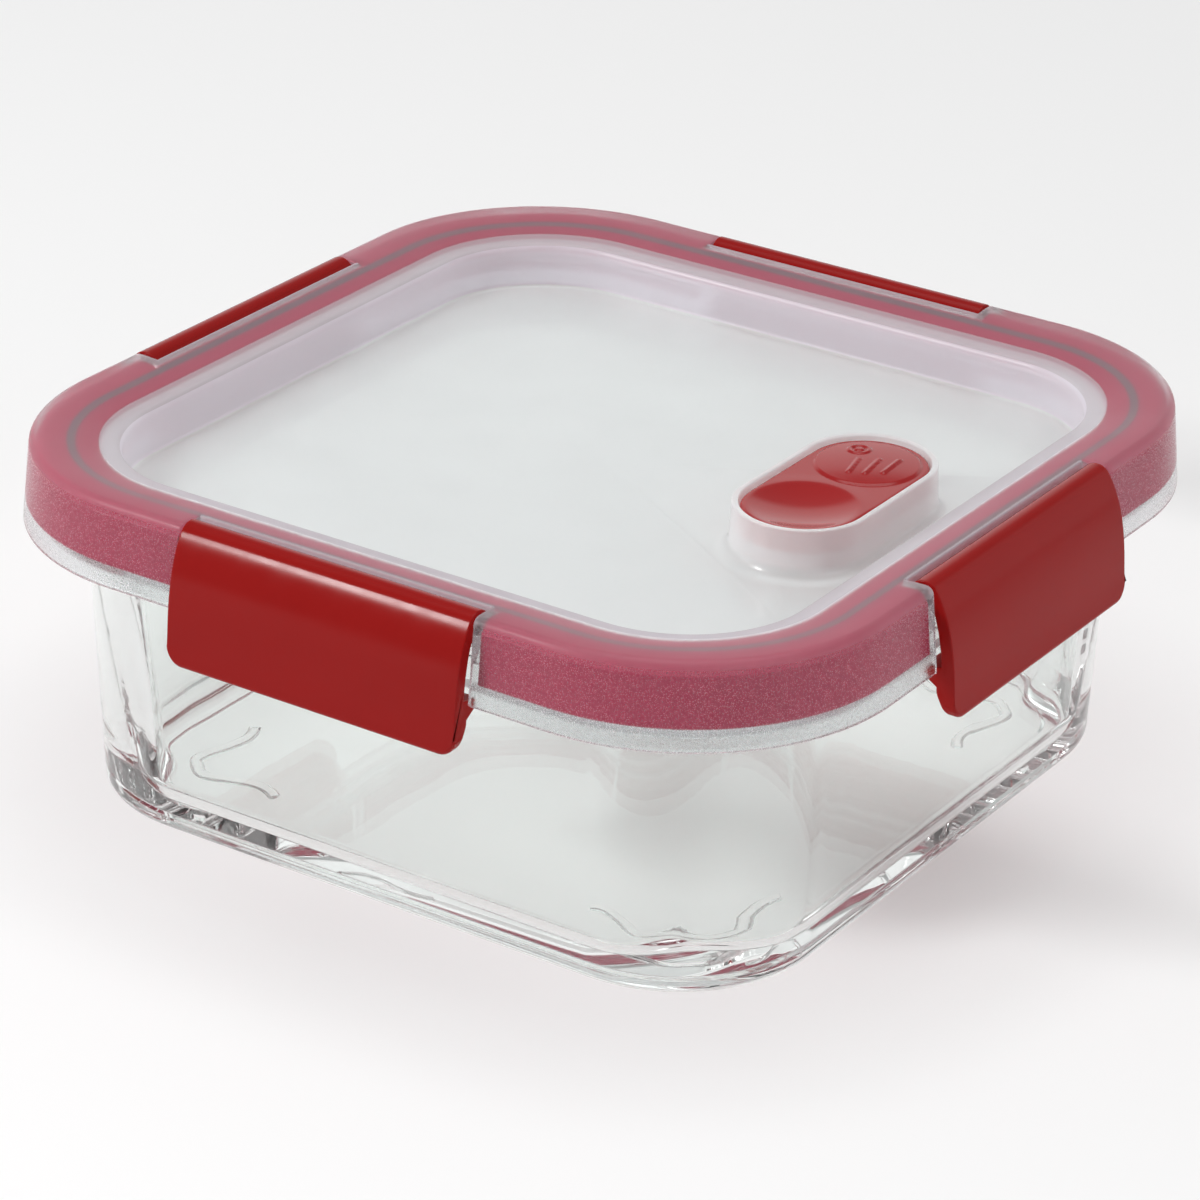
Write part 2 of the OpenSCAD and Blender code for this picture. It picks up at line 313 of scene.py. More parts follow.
dish_profile = rounded([
    (0, hollow_z, 0),
    (59.8, hollow_z, 0.6),
    (60.6, 0, 0.4),
    (wall_out_low, 0, 3.0),
    (wall_out_low + 0.4, 9.5, 0),
    (wall_out_top, flange_z, 0.8),
    (flange_half, flange_z, 0.8),
    (flange_half, dish_h - 3.8, 1.2),
    (75.7, dish_h - 0.3, 0.6),
    (74.6, dish_h, 0.5),
    (wall_in_top, dish_h, 0.8),
    (wall_in_low + 0.4, 11.5, 0),
    (wall_in_low, floor_z, 5.0),
    (0, floor_z, 0),
], steps=8)
dish_surface = sweep(dish_profile, all_round(np.linspace(-38, 38, 5)))
dish_surface = thickened(dish_surface, dish_profile)
wavy_from = 9
wavy = (dish_profile[:, 1] > wavy_from) & (dish_profile[:, 1] < flange_z - 0.5)
ends = [0, *(np.flatnonzero(np.diff(wavy)) + 1), len(wavy) - 1]
dish_patches = [
    grid(dish_surface[a:b + 1], wrap=True, finish=WAVY if wavy[a] else PLAIN)
    for a, b in zip(ends, ends[1:])
]
dish = new_piece("dish_glass_body", dish_patches, [wavy_glass, plain_glass])
for k in range(4):
    combine(dish, foot_rib(k), "UNION")
shade(dish.data, 35)
dish.visible_shadow = False     # light passes through the glass, so it casts no shadow of its own
dish.visible_diffuse = False
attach(dish, "dish")
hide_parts("glass_dish")


# ---------------------------------------------------------------- Lid
# The lid is clear polypropylene, moulded in one piece: a sunken panel, a rim, and a skirt with a fine
# frost from the mould. Ears at each clip's notch carry its pins, and a collar rings the vent.

SATIN, FROSTED, MILKY, LINER_REFLECTION, LEDGE_SHADE = range(5)
lid_low, lid_high = 1000 * np.array(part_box("lid_shell"))
skirt_z, rim_z = lid_low[2], lid_high[2]
lid_t = 1.8
skirt_t = 1.4
panel_z = rim_z - 10.5
well_in = 65.5                # the sunken wall's inner face
well_out = well_in + lid_t
ledge_half = 69.4             # where the clear ledge meets the red liner
crest_half = 79.3
crown_fall = 1.6              # how far the rim falls from its crest to the ledge
edge_half = 81.0              # outer edge of the rim, before its rounding
skirt_lean = 1.5
notch_half = 76.0             # how far the rim reaches behind a clip
notch_s = 28.9                # half length of a clip's notch
ear_s = notch_s + 1.2         # far side of the ear that closes the notch's end
ear_z = 57.6
part_half = 75.4              # rim and skirt are made outside this line, panel and well inside


def crown(x, below=0.0):
    """Points of the rim's crowned top at half width x: it falls from crest to ledge as a parabola."""
    x = np.atleast_1d(x)
    fall = crown_fall * ((crest_half - x) / (crest_half - ledge_half)) ** 2
    return np.stack([x, rim_z - below - fall], 1)


def skirt(z, inside=0.0):
    """Half width of the skirt's outer face at height z, or of a line that far inside it: from the
    rim down, it leans out evenly."""
    return edge_half + skirt_lean * (rim_z - z) / (rim_z - skirt_z) - inside


def softened(path, depth):
    """A path moved inward, off its left side, by a depth that grows over its first and last millimetre."""
    way = np.gradient(path, axis=0)
    way /= np.linalg.norm(way, axis=1)[:, None]
    inward = np.stack([way[:, 1], -way[:, 0]], 1)
    steps = np.linalg.norm(np.diff(path, axis=0), axis=1)
    gone = np.concatenate([[0], np.cumsum(steps)])
    share = np.clip(np.minimum(gone, gone[-1] - gone), 0, 1)
    return path + inward * (depth * share)[:, None]


def rim_patches(outer, low, high_full, high_ear, notch_face):
    """The rim outside the parting line: frosted skirt, ears and the clip notches' ends.

    Each corner's stretch runs from one notch to the next. Its section changes at the ear's far
    side, and near the notch it shrinks along a quarter circle, which rounds the ear's edge. The
    finish turns from satin to frosted a millimetre below the crest.
    """
    patches = []
    turn = np.linspace(0, np.pi / 2, 5)
    soft = 0.35
    on_top = outer[:, 0] <= crest_half + 0.1
    crest_rows = np.count_nonzero(on_top) + np.searchsorted(-outer[~on_top, 1], -(rim_z - 1.0))
    shell = np.concatenate([outer, low[1:], high_full[1:]])
    ear = np.concatenate([outer, low[1:], high_ear[1:]])
    for k in range(4):
        before, after = along_side(k, [ear_s, 36, 40]), along_side(k + 1, [-40, -36, -ear_s])
        surface = sweep(shell, joined(before, round_corner(k), after))
        patches += [grid(surface[:crest_rows + 1]), grid(surface[crest_rows:], finish=FROSTED)]
        for side, sign in ((k, 1), (k + 1, -1)):
            rows = [sweep(ear, along_side(side, [sign * ear_s]))]
            for a in turn:
                s = sign * (notch_s + soft * (1 - np.sin(a)))
                rows.append(sweep(softened(ear, soft * (1 - np.cos(a))), along_side(side, [s])))
            ear_surface = np.concatenate(rows, axis=1)
            patches.append(grid(ear_surface[:crest_rows + 1]))
            patches.append(grid(ear_surface[crest_rows:], finish=FROSTED))
            inner = sweep(np.concatenate([high_full, high_ear[-2:0:-1]]), along_side(side, [sign * ear_s]))
            # the ear's cap and end take the darker grey of painted shade
            patches.append(cap(inner[:, 0], LEDGE_SHADE))
            end = sweep(notch_face[-2:0:-1], along_side(side, [sign * notch_s]))
            patches.append(cap(np.concatenate([ear_surface[:, -1], end[:, 0]]), LEDGE_SHADE))
        # the notch's face, in painted shade
        across_notch = along_side(k, np.linspace(-notch_s, notch_s, 7))
        patches.append(grid(sweep(notch_face, across_notch), finish=LEDGE_SHADE))
    return patches


def collar_ring(finishes):
    """The vent's collar: a rounded wall carried round a stadium, its foot flared into the panel.

    A point is a place on the stadium's middle line plus the profile's x along the way out.
    """
    top = rim_z - 1.65
    sunk = panel_z - 0.9          # the collar's underside lies inside the panel
    foot_z = panel_z + 0.1
    section = np.concatenate([
        [(1.0, sunk)],
        rounded([
            (15.6, sunk, 0),
            (15.6, panel_z - 0.06, 0),
            (12.3, foot_z, 2.6),
            (11.9, top, 0.3),
            (10.75, top, 0.25),
            (10.75, foot_z, 0.6),
            (1.0, foot_z, 0),
        ]),
    ])
    foot, out = stadium_stations(12, 40)
    flat = foot + section[:, 0][:, None, None] * out
    z = np.broadcast_to(section[:, 1][:, None, None], flat.shape[:2] + (1,))
    ring = np.concatenate([flat, z], axis=2)
    surface = np.concatenate([ring, ring[:1]])
    return new_piece("collar", [grid(surface, wrap=True, finish=MILKY)], finishes)


def stadium_stations(straight, bend):
    """Stations round the vent's stadium: feet on its middle line, and the ways out from them."""
    feet, outs = [], []
    for sign in (1, -1):
        s = np.linspace(-sign, sign, straight + 1)[:-1] * vent_pitch / 2
        feet.append(np.stack([np.full_like(s, vent_x), s], 1))
        outs.append(np.tile([sign, 0.0], (len(s), 1)))
        a = np.linspace(0, np.pi, bend + 1)[:-1] + (0 if sign > 0 else np.pi)
        feet.append(np.tile([vent_x, sign * vent_pitch / 2], (len(a), 1)))
        outs.append(np.stack([np.cos(a), np.sin(a)], 1))
    return np.concatenate(feet), np.concatenate(outs)


def by_height(nodes, links, low, high):
    """0 below a height in metres and 1 above another, as a smooth S between them."""
    place = nodes.new("ShaderNodeTexCoord")
    split = nodes.new("ShaderNodeSeparateXYZ")
    span = nodes.new("ShaderNodeMapRange")
    span.interpolation_type = "SMOOTHSTEP"
    span.inputs["From Min"].default_value = low
    span.inputs["From Max"].default_value = high
    links.new(place.outputs["Object"], split.inputs["Vector"])
    links.new(split.outputs["Z"], span.inputs["Value"])
    return span.outputs["Result"]


def rod(name, centre, axis, radius, length, finishes, chamfer=0.2, steps=32):
    """A round pin with chamfered ends, centred on a place, its length along axis 0, 1 or 2."""
    along = np.array([-0.5, -0.5, -0.5 + chamfer / length, 0.5 - chamfer / length, 0.5, 0.5]) * length
    across = np.array([0, radius - chamfer, radius, radius, radius - chamfer, 0])
    a = np.linspace(0, 2 * np.pi, steps, endpoint=False)
    points = np.zeros((6, steps, 3))
    points[:, :, axis] = along[:, None]
    points[:, :, (axis + 1) % 3] = across[:, None] * np.cos(a)
    points[:, :, (axis + 2) % 3] = across[:, None] * np.sin(a)
    return new_piece(name, [grid(points + np.array(centre), wrap=True)], finishes)


vent_low, vent_high = 1000 * np.array(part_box("vent_rocker"))
vent_x = (vent_low[0] + vent_high[0]) / 2
rocker_r = (vent_high[0] - vent_low[0]) / 2
vent_pitch = (vent_high[1] - vent_low[1]) - 2 * rocker_r

# The same clear plastic looks different from place to place: satin on the rim and the pins, frosted
# on the skirt, and milky in the panel, whiter up its collar as painted light. The sunken wall is lavender,
# a painted reflection of the red liner, and the ledge and the clips' notches are darker grey, painted
# shade.
satin, nodes, links, shader = clear_material("lid_polished", (0.95, 0.94, 0.955), 0.42, 0.96, 1.4)
relief(nodes, links, shader, noise(nodes, links, 30, 0.0), 0.05, 0.0004)
links.new(between(nodes, links, noise(nodes, links, 90), 0.38, 0.46), shader.inputs["Roughness"])

frosted, nodes, links, shader = clear_material("lid_frosted", (0.83, 0.835, 0.85), 0.2, 1.0, 1.4)
grain = noise(nodes, links, 4600, 1.0)
relief(nodes, links, shader, grain, 0.5, 0.00006)
links.new(between(nodes, links, grain, 1.0, 0.96), shader.inputs["Transmission Weight"])
links.new(between(nodes, links, grain, 0.14, 0.3), shader.inputs["Roughness"])

milky, nodes, links, shader = clear_material("lid_milky", (0.82, 0.85, 0.85), 0.32, 0.62, 1.45)
shader.inputs["Coat Weight"].default_value = 0.3
shader.inputs["Coat Roughness"].default_value = 0.06
relief(nodes, links, shader, noise(nodes, links, 30, 0.0), 0.05, 0.0004)
links.new(between(nodes, links, noise(nodes, links, 90), 0.28, 0.36), shader.inputs["Roughness"])
# Painted light: the milky base colour turns whiter up the collar, standing in for the brighter light on it.
above_panel = by_height(nodes, links, (panel_z + 1) / 1000, (panel_z + 3) / 1000)
collar_painted_light = nodes.new("ShaderNodeMix")
collar_painted_light.data_type = "RGBA"
collar_painted_light.inputs["A"].default_value = shader.inputs["Base Color"].default_value
collar_painted_light.inputs["B"].default_value = (0.95, 0.96, 0.97, 1)
links.new(above_panel, collar_painted_light.inputs["Factor"])
links.new(collar_painted_light.outputs["Result"], shader.inputs["Base Color"])

# Lavender base colour on the sunken wall: a painted reflection of the red liner.
painted_liner_reflection, nodes, links, shader = clear_material("lid_painted_liner_reflection", (0.82, 0.78, 0.86), 0.34, 0.45, 1.45)
relief(nodes, links, shader, noise(nodes, links, 30, 0.0), 0.05, 0.0004)
links.new(between(nodes, links, noise(nodes, links, 90), 0.3, 0.38), shader.inputs["Roughness"])

# Darker grey for the ledge, the ears' caps and the clips' notches: painted shade, in the base colour.
ledge_shade_grey, nodes, links, shader = clear_material("lid_ledge_painted_shade", (0.6, 0.56, 0.6), 0.4, 0.5, 1.45)
links.new(between(nodes, links, noise(nodes, links, 90), 0.36, 0.44), shader.inputs["Roughness"])

panel_top = rounded([
    (0, panel_z, 0),
    (well_in, panel_z, 0.9),
    (well_in, rim_z - 2.5, 1.3),
    (ledge_half, rim_z - crown_fall, 0),
])
rim_top = np.concatenate([panel_top[-1:], crown(np.linspace(70.6, part_half, 5))])
rim_under = crown(np.linspace(part_half, ledge_half, 6), lid_t)
panel_under = rounded([
    (ledge_half, rim_z - crown_fall - lid_t, 0),
    (well_out, rim_z - 2.0 - lid_t, 1.0),
    (well_out, panel_z - lid_t, 1.2),
    (0, panel_z - lid_t, 0),
])
rim_outer = np.concatenate([
    crown(np.linspace(part_half, crest_half - 0.4, 6)),
    rounded([
        (crest_half, rim_z, 0),
        (edge_half, rim_z, 1.5),
        (skirt(skirt_z), skirt_z, 0.5),
        (skirt(skirt_z, 0.7), skirt_z, 0),
    ], steps=6),
])
rim_low = rounded([
    (skirt(skirt_z, 0.7), skirt_z, 0),
    (skirt(skirt_z, skirt_t), skirt_z, 0.5),
    (skirt(ear_z, skirt_t), ear_z, 0),
])
rim_high_full = np.concatenate([
    rounded([
        (skirt(ear_z, skirt_t), ear_z, 0),
        (skirt(62.8, skirt_t), 62.8, 0.6),
        (78.7, 63.8, 0.6),
        (*crown(77.6, lid_t)[0], 0),
    ]),
    crown(np.array([76.5, part_half]), lid_t),
])
rim_high_ear = np.concatenate([
    [(skirt(ear_z, skirt_t), ear_z), (skirt(ear_z, skirt_t + 1), ear_z), (notch_half, dish_h + 0.2)],
    crown(np.array([notch_half, part_half]), lid_t),
])
notch_face = rounded([
    (*crown(part_half)[0], 0),
    (*crown(notch_half)[0], 0.3),
    (*crown(notch_half, lid_t)[0], 0.2),
    (*crown(part_half, lid_t)[0], 0),
], steps=4, hold=0.02)

notch_places = np.linspace(-notch_s, notch_s, 7)
round_places = all_round([-40, -36, -ear_s, *notch_places, ear_s, 36, 40])
lid_finishes = [satin, frosted, milky, painted_liner_reflection, ledge_shade_grey]
wall_row = np.argmax(panel_top[:, 1] > panel_z + 0.25)
ledge_row = np.argmax(panel_top[:, 1] > rim_z - 2.7)
panel_surface = sweep(panel_top, round_places)
lid = new_piece(
    "lid_body",
    [
        grid(panel_surface[:wall_row + 1], wrap=True, finish=MILKY),
        # the sunken wall, with the painted reflection of the liner
        grid(panel_surface[wall_row:ledge_row + 1], wrap=True, finish=LINER_REFLECTION),
        # the ledge, in painted shade
        grid(panel_surface[ledge_row:], wrap=True, finish=LEDGE_SHADE),
        grid(sweep(rim_top, round_places), wrap=True, finish=SATIN),
        grid(sweep(rim_under, round_places), wrap=True, finish=SATIN),
        grid(sweep(panel_under, round_places), wrap=True, finish=MILKY),
        *rim_patches(rim_outer, rim_low, rim_high_full, rim_high_ear, notch_face),
    ],
    lid_finishes,
)
combine(lid, collar_ring(lid_finishes), "UNION")
steam_hole = rod("steam_hole", (vent_x, vent_pitch / 2, panel_z), 2, 2.5, 6, [])
combine(lid, steam_hole, "DIFFERENCE")
shade(lid.data, 35)
lid.visible_shadow = False      # as with the glass
lid.visible_diffuse = False
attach(lid, "lid")
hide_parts("lid_shell")

pivot_x, pivot_z = 79.0, 63.1
pin_s = notch_s - 1.35        # middle of each hinge pin
for k, name in enumerate(("right", "back", "left", "front")):
    for sign, end in ((1, "a"), (-1, "b")):
        middle = quarter_turns(np.array([[pivot_x, sign * pin_s]]), k)[0]
        axis = (1 + k) % 2
        pin = rod(f"hinge_pin_{name}_{end}", (*middle, pivot_z), axis, 1.2, 2.9, [satin])
        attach(pin, "lid")
for sign, end in ((1, "right"), (-1, "left")):
    centre = (vent_x + sign * (rocker_r - 0.75), 0, vent_high[2] - 2.8)
    pin = rod(f"vent_pin_{end}", centre, 0, 1.0, 1.9, [satin])
    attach(pin, "lid")


# ---------------------------------------------------------------- Liner gasket
# The red liner is one ring of soft thermoplastic rubber, moulded onto the lid. It seals on the glass
# rim, and its thin apron colours the inside of the lid's skirt, apart from the clips' notches.

GROOVE_SHADE = 1                      # finish of the line round the liner's top; the rest is red
seal_z = dish_h + 0.05
apron_t = 0.9
apron_z = skirt_z + 3.5
bond = 0.03                   # the rubber is moulded onto the lid, so it reaches this far into it
cut_half = notch_half - 0.4
cut_s = ear_s - bond
seam_half = 75.15             # the ring runs all round inside this line, and the apron is outside it


def rubber_material(name, colour, roughness):
    """Satin rubber: a little sheen, fine grain in its relief, and a roughness that wanders."""
    material = bpy.data.materials.new(name)
    material.use_nodes = True
    nodes, links = material.node_tree.nodes, material.node_tree.links
    shader = nodes["Principled BSDF"]
    shader.inputs["Base Color"].default_value = (*colour, 1)
    shader.inputs["Roughness"].default_value = roughness
    shader.inputs["Sheen Weight"].default_value = 0.15
    cloudy = between(nodes, links, noise(nodes, links, 300), roughness - 0.08, roughness + 0.08)
    links.new(cloudy, shader.inputs["Roughness"])
    relief(nodes, links, shader, noise(nodes, links, 1800), 0.2, 0.0002)
    return material


liner_red = rubber_material("liner_rubber", (0.37, 0.008, 0.056), 0.5)
# Dark grey for the line round the liner's top: painted shade of a groove, which the liner's shape does not
# have.
groove_painted_shade = rubber_material("liner_groove_painted_shade", (0.14, 0.08, 0.1), 0.6)

below = lid_t - bond
inner_x = np.linspace(ledge_half + 0.3, 73.5, 5)
line_x = [73.95, 74.1, 74.8, 74.95]     # a grey line runs round the liner's top here
liner_top = crown(np.array([*inner_x, *line_x, seam_half]), below)
liner_under = rounded([
    (seam_half, seal_z, 0),
    (ledge_half, seal_z, 0.25),
    (ledge_half, crown(ledge_half, below)[0, 1], 0.25),
    (*crown(ledge_half + 0.8, below)[0], 0),
], steps=4, hold=0.03)[:-1]
liner_outer = np.concatenate([
    crown(np.linspace(seam_half, 78.2, 4), below),
    rounded([
        (*crown(78.4, below)[0], 0),
        (78.72, 63.82, 0.5),
        (skirt(62.82, skirt_t - bond), 62.82, 0.5),
        (skirt(apron_z, skirt_t - bond), apron_z, 0.3),
        (skirt(apron_z, skirt_t + apron_t / 2), apron_z, 0),
    ], steps=3, hold=0.03)[1:],
])
liner_inner = rounded([
    (skirt(apron_z, skirt_t + apron_t / 2), apron_z, 0),
    (skirt(apron_z, skirt_t - bond + apron_t), apron_z, 0.3),
    (skirt(62.2, skirt_t - bond + apron_t), 62.2, 0.3),
    (75.9, 62.2, 0.3),
    (75.3, seal_z, 0.2),
    (seam_half, seal_z, 0),
], steps=3, hold=0.02)
cut_face = np.array([
    crown(seam_half, below)[0],
    crown(cut_half - 0.15, below)[0],
    crown(cut_half, below + 0.15)[0],
    (cut_half, seal_z + 0.15),
    (cut_half - 0.15, seal_z),
    (seam_half, seal_z),
])

liner_round = all_round([-40, -36, -cut_s, 0, cut_s, 36, 40])
line_start, line_end = len(inner_x) - 1, len(inner_x) + len(line_x) - 1
top_surface = sweep(liner_top, liner_round)
patches = [
    grid(top_surface[:line_start + 1], wrap=True),
    # the line of painted groove shade
    grid(top_surface[line_start:line_end + 1], wrap=True, finish=GROOVE_SHADE),
    grid(top_surface[line_end:], wrap=True),
    grid(sweep(np.concatenate([liner_under, liner_top[:1]]), liner_round), wrap=True),
]
section = np.concatenate([liner_outer, liner_inner[1:]])
for k in range(4):
    before, after = along_side(k, [cut_s, 36, 40]), along_side(k + 1, [-40, -36, -cut_s])
    patches.append(grid(sweep(section, joined(before, round_corner(k), after))))
    patches.append(grid(sweep(cut_face, along_side(k, [-cut_s, 0, cut_s]))))
    for side, s in ((k, cut_s), (k + 1, -cut_s)):
        outline = sweep(np.concatenate([section, cut_face[-2:0:-1]]), along_side(side, [s]))
        patches.append(cap(outline[:, 0]))
liner = new_piece("liner_ring", patches, [liner_red, groove_painted_shade], sharp=50)
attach(liner, "lid")
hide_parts("lid_gasket")


# ---------------------------------------------------------------- Side clips
# Four clips of glossy red polypropylene snap under the flange. Each is one moulding: a barrel that
# turns on the lid's pins, a hollow curved plate, a hook ridge inside and a thick finger edge.

clip_half = 28.65
clip_drop = 20.4
clip_t = 2.3
barrel_r = 2.8
bend_x, bend_z = 2.33, 1.55   # where the plate leaves the barrel, from the hinge axis
bend_angle = np.radians(33.7)
reach = clip_drop + bend_z
corner_r = 3.0


def plate_face(s):
    """Outer face of the plate, s below its bend, from the hinge axis: it swings out by 4.6 as an
    exponential that levels off, and flares by 0.5 near the finger edge."""
    x = bend_x + 4.6 * (1 - np.exp(-s / 6.9)) + 0.5 * (np.maximum(0, s - 16) / 6) ** 2
    return np.stack([x, bend_z - s], 1)


def plate_back(s, end):
    """Inner face of the plate: the outer face less its thickness, which swells above the finger edge."""
    thickness = clip_t + 1.1 * np.exp(-(((s - end + 2.6) / 2.2) ** 2))
    return plate_face(s) - np.stack([thickness, np.zeros_like(s)], 1)


def clip_section(end):
    """Closed outline of a clip whose finger edge is at s = end: outer face down, rounded edge,
    inner face up with its hook, then round the barrel."""
    hook_x, hook_z = flange_half + 0.25 - pivot_x, flange_z - 0.3 - pivot_z
    edge_s, hook_low, hook_high, barrel_s = end - 0.9, 16.6, 12.9, 3.6
    outer = plate_face(np.linspace(0, edge_s, 30))
    below_hook = plate_back(np.linspace(edge_s, hook_low, 8), end)
    above_hook = plate_back(np.linspace(hook_high, barrel_s, 12), end)
    edge = rounded([
        (*outer[-1], 0),
        (*plate_face(np.array([end]))[0], 0.8),
        (*plate_back(np.array([end]), end)[0], 0.9),
        (*below_hook[0], 0),
    ], steps=6, hold=0.02)[1:-1]
    hook = rounded([
        (*below_hook[-1], 0),
        (hook_x, hook_z - 1.2, 0.3),
        (hook_x, hook_z, 0.3),
        (*above_hook[0], 0),
    ], steps=4, hold=0.03)[1:-1]
    back_angle = np.radians(-47)        # where the plate's back meets the barrel
    a = np.linspace(back_angle, bend_angle - 2 * np.pi, 40)[1:-1]
    barrel = barrel_r * np.stack([np.cos(a), np.sin(a)], 1)
    return np.concatenate([outer, edge, below_hook, hook, above_hook, barrel])


def shrunk(outline, depth):
    """A closed outline moved inward by a depth along its own normals."""
    way = np.roll(outline, -1, 0) - np.roll(outline, 1, 0)
    way /= np.linalg.norm(way, axis=1)[:, None]
    return outline + depth * np.stack([way[:, 1], -way[:, 0]], 1)


def clip_body(name, k, finishes):
    """A clip on side k: its outline carried along the side, shorter round the lower corners, and
    shrunk along a quarter circle at both ends, which rounds their edges."""
    soft = 0.22
    a = np.linspace(0, np.pi / 2, 6)
    corner = clip_half - corner_r
    bend = np.linspace(0, 1.35, 14)[1:]
    s = np.concatenate([np.linspace(0, corner, 8), corner + corner_r * np.sin(bend)])
    s = np.concatenate([s[s < clip_half - soft - 0.05], clip_half - soft + soft * np.sin(a)])
    depth = np.concatenate([np.zeros(len(s) - len(a)), soft * (1 - np.cos(a))])
    lost = corner_r - np.sqrt(np.maximum(corner_r ** 2 - np.maximum(s - corner, 0) ** 2, 0.5))
    sections = np.stack([shrunk(clip_section(reach - cut), d) for cut, d in zip(lost, depth)], 1)
    both = np.concatenate([sections[:, :0:-1], sections], axis=1)
    along = np.concatenate([-s[:0:-1], s])
    flat = np.stack([both[:, :, 0] + pivot_x, np.broadcast_to(along, both.shape[:2])], 2)
    flat = quarter_turns(flat.reshape(-1, 2), k).reshape(flat.shape)
    body = np.concatenate([flat, both[:, :, 1:] + pivot_z], axis=2)
    patches = [grid(np.concatenate([body, body[:1]])), cap(body[:, 0]), cap(body[:, -1])]
    return new_piece(name, patches, finishes, sharp=40)


def gloss_material(name, colour, roughness, specular):
    """Glossy moulded plastic: a faint grain in its relief, and a roughness and colour that wander."""
    material = bpy.data.materials.new(name)
    material.use_nodes = True
    nodes, links = material.node_tree.nodes, material.node_tree.links
    shader = nodes["Principled BSDF"]
    shader.inputs["Specular IOR Level"].default_value = specular
    tint = nodes.new("ShaderNodeMix")
    tint.data_type = "RGBA"
    tint.inputs["A"].default_value = (*colour, 1)
    tint.inputs["B"].default_value = (*[0.9 * c for c in colour], 1)
    links.new(noise(nodes, links, 70, 3.0), tint.inputs["Factor"])
    links.new(tint.outputs["Result"], shader.inputs["Base Color"])
    cloudy = between(nodes, links, noise(nodes, links, 220, 3.0), roughness - 0.02, roughness + 0.03)
    links.new(cloudy, shader.inputs["Roughness"])
    relief(nodes, links, shader, noise(nodes, links, 900, 1.0), 0.004, 0.0001)
    return material


clip_red = gloss_material("clip_plastic", (0.31, 0.009, 0.008), 0.16, 0.1)
for k, name in enumerate(("right", "back", "left", "front")):
    clip = clip_body(f"clip_{name}_body", k, [clip_red])
    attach(clip, f"{name}_clip")
    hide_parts(f"clip_{name}")


# ---------------------------------------------------------------- Steam vent
# The vent is a glossy red rocker in the lid's collar: pressing its finger dip tips it on two pins
# and lifts the soft stopper at its other end off the steam hole.

rocker_z = vent_high[2] - 0.8           # the flat field; the knob stands above it
rocker_t = rocker_z - vent_low[2]
knob_y, dip_y = vent_pitch / 2, -vent_pitch / 2
knob_r, dip_r, dip_depth = 9.0, 9.3, 1.4


def step_up(distance, width):
    """0 outside an edge and 1 inside it, over a width, as a smooth S; distance is positive inside."""
    f = np.clip(distance / width + 0.5, 0, 1)
    return f * f * (3 - 2 * f)


def bar(x, y, start, end, half):
    """How far points are inside a bar with round ends: its half width less their distance from its line."""
    start, end = np.array(start), np.array(end)
    line = end - start
    f = np.clip(((x - start[0]) * line[0] + (y - start[1]) * line[1]) / (line @ line), 0, 1)
    return half - np.hypot(x - start[0] - f * line[0], y - start[1] - f * line[1])


def rocker_top(x, y):
    """Height of the rocker's top: a flat field, a round knob that is slightly domed, low marks
    on it, and a finger dip.

    The dip is a sphere of radius (r^2 + depth^2) / (2 depth), and the lower of it and the field
    is taken, with the edge between them rounded.
    """
    from_knob = np.hypot(x, y - knob_y)
    from_dip = np.hypot(x, y - dip_y)
    knob = step_up(knob_r - from_knob, 0.4)
    z = rocker_z + knob * (0.3 + 0.5 * np.maximum(1 - (from_knob / knob_r) ** 2, 0))
    marks = [
        bar(x, y, (2.2, knob_y - 4.6), (1.4, knob_y + 1.4), 0.35),
        bar(x, y, (4.6, knob_y - 2.6), (4.2, knob_y + 3.4), 0.35),
        bar(x, y, (-0.4, knob_y - 5.6), (-1.6, knob_y - 0.2), 0.35),
    ]
    from_drop = np.hypot(x + 3.6, y - knob_y - 3.2)
    drop_ring = 0.35 - np.abs(from_drop - 1.7)
    drop = 0.8 - from_drop
    for mark in (*marks, drop_ring, drop):
        z = z + 0.32 * step_up(mark, 0.3)
    bowl_r = (dip_r ** 2 + dip_depth ** 2) / (2 * dip_depth)
    sphere = rocker_z - dip_depth + bowl_r - np.sqrt(bowl_r ** 2 - np.minimum(from_dip, 12) ** 2)
    lip = 0.08
    lower = (z + sphere) / 2 - np.sqrt(((z - sphere) / 2) ** 2 + lip ** 2)
    return lower + lip * step_up(11 - from_dip, 4)


def rocker_body(finishes):
    """The rocker: rings from its rim in to its middle line follow the top's height, then a rounded
    rim, an upright side and a flat underside. A point is a foot plus r along its way out."""
    foot, out = stadium_stations(84, 84)
    r = np.linspace(rocker_r - 0.7, 0, 42)
    flat = foot + r[:, None, None] * out
    top = rocker_top(flat[:, :, 0] - vent_x, flat[:, :, 1])
    field = np.concatenate([flat, top[:, :, None]], axis=2)
    a = np.linspace(0, np.pi / 2, 7)
    r = np.concatenate([
        [0, rocker_r - 0.5],
        rocker_r - 0.5 + 0.5 * np.sin(a),
        [rocker_r],
        rocker_r - 0.7 + 0.7 * np.cos(a[:-1]),
    ])
    drop = np.concatenate([
        [rocker_t, rocker_t],
        rocker_t - 0.5 + 0.5 * np.cos(a),
        [0.9],
        0.7 - 0.7 * np.sin(a[:-1]),
    ])
    flat = foot + r[:, None, None] * out
    z = rocker_z - np.broadcast_to(drop[:, None, None], flat.shape[:2] + (1,))
    side = np.concatenate([flat, z], axis=2)
    patch = grid(np.concatenate([side, field]), wrap=True)
    return new_piece("vent_rocker_body", [patch], finishes, sharp=60)


vent_red = gloss_material("vent_plastic", (0.36, 0.008, 0.009), 0.12, 0.35)
rocker = rocker_body([vent_red])
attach(rocker, "vent")
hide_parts("vent_rocker")

